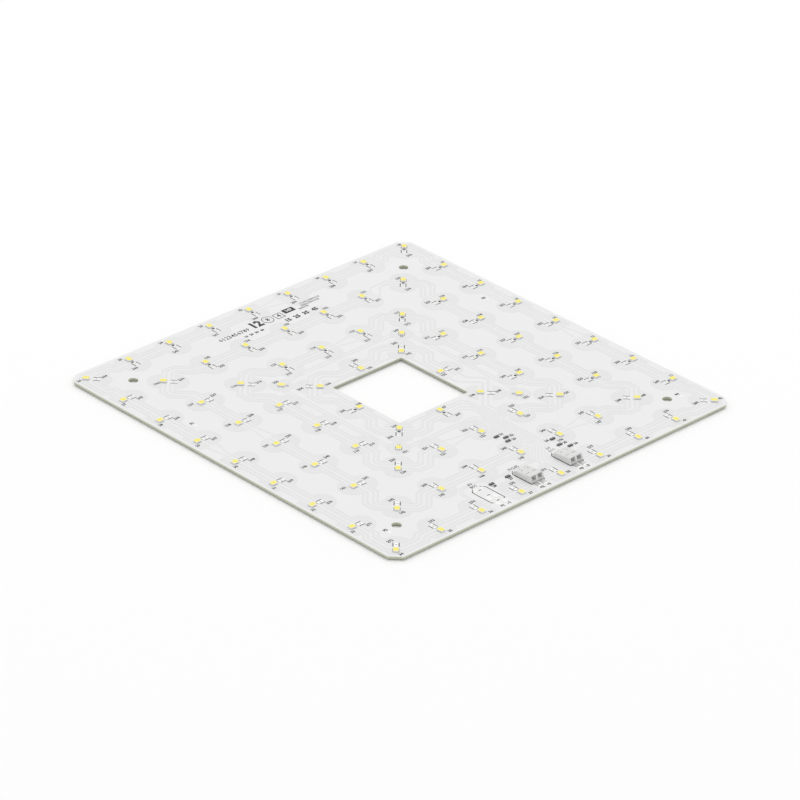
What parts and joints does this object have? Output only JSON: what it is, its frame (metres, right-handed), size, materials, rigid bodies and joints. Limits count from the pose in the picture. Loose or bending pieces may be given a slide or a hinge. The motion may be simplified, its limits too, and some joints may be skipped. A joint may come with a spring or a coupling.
{
  "type": "led module",
  "caption": "Square white LED panel board with a central window, rings of LEDs and push-in wire terminals.",
  "frame": {"origin": "centre of the board's underside", "axes": "+Z out of the light side, -Y towards the edge with the wire terminals, +X to the right of it"},
  "size_m": [0.28, 0.28, 0.006],
  "materials": {
    "laminate": "cut glass-epoxy laminate",
    "white_coat": "satin",
    "coated_copper": "satin",
    "tin": "bright tinned",
    "led_plastic": "matte",
    "phosphor": "satin",
    "lead_frame": "silvered",
    "die": "clear",
    "terminal_plastic": "matte",
    "spring_steel": "satin",
    "ceramic": "matte",
    "glaze": "gloss"
  },
  "bodies": {
    "root": {"board": "laminate", "solder_coat": "white_coat", "copper_tracks": "coated_copper", "led_pads": "tin", "spare_pads": "tin", "terminal_pads": "tin", "resistor_pads": "tin", "test_pads": "tin", "outer_led_housings": "led_plastic", "second_led_housings": "led_plastic", "third_led_housings": "led_plastic", "inner_led_housings": "led_plastic", "diagonal_led_housings": "led_plastic", "outer_led_phosphor": "phosphor", "second_led_phosphor": "phosphor", "third_led_phosphor": "phosphor", "inner_led_phosphor": "phosphor", "diagonal_led_phosphor": "phosphor", "outer_led_leads": "lead_frame", "second_led_leads": "lead_frame", "third_led_leads": "lead_frame", "inner_led_leads": "lead_frame", "diagonal_led_leads": "lead_frame", "outer_led_dies": "die", "second_led_dies": "die", "third_led_dies": "die", "inner_led_dies": "die", "diagonal_led_dies": "die", "left_terminal_housing": "terminal_plastic", "left_terminal_clamps": "spring_steel", "right_terminal_housing": "terminal_plastic", "right_terminal_clamps": "spring_steel", "resistor_bodies": "ceramic", "resistor_glaze": "glaze", "resistor_caps": "tin"}
  },
  "joints": []
}
